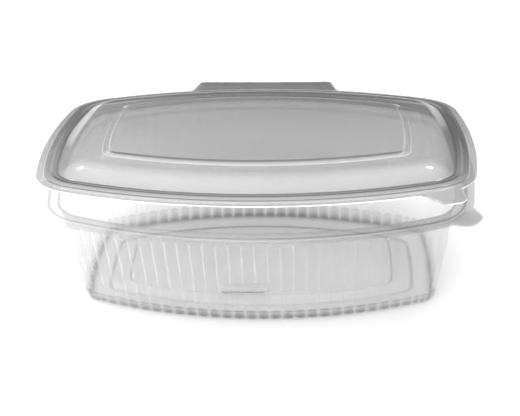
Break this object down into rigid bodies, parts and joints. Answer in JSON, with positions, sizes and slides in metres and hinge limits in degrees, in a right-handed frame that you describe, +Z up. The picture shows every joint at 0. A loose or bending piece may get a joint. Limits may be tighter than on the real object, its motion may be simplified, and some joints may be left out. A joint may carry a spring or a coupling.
{
  "type": "takeaway meal container",
  "caption": "Clear hinged takeaway container: fluted tub with a stepped rim, low domed lid standing slightly open, finger tabs at one corner and a fold along the back.",
  "frame": {"origin": "on the surface the foot stands on, under the middle of the whole container with its lid ajar", "axes": "+X along the long side towards the finger tabs' end, +Y from the opening side to the fold at the back, +Z up"},
  "size_m": [0.19, 0.1511, 0.0775],
  "materials": {
    "clear_plastic": "clear glossy thermoformed sheet"
  },
  "bodies": {
    "tub": {"tub": "clear_plastic"},
    "lid": {"lid": "clear_plastic"}
  },
  "joints": [
    {"name": "lid_hinge", "type": "hinge", "parent": "tub", "child": "lid", "pos_m": [0, 0.07598, 0.0568], "axis": [-1, 0, 0], "range_deg": [-6.4, 173.6], "stiffness_Nm_per_rad": 0.02, "springref_deg": 20.05}
  ]
}
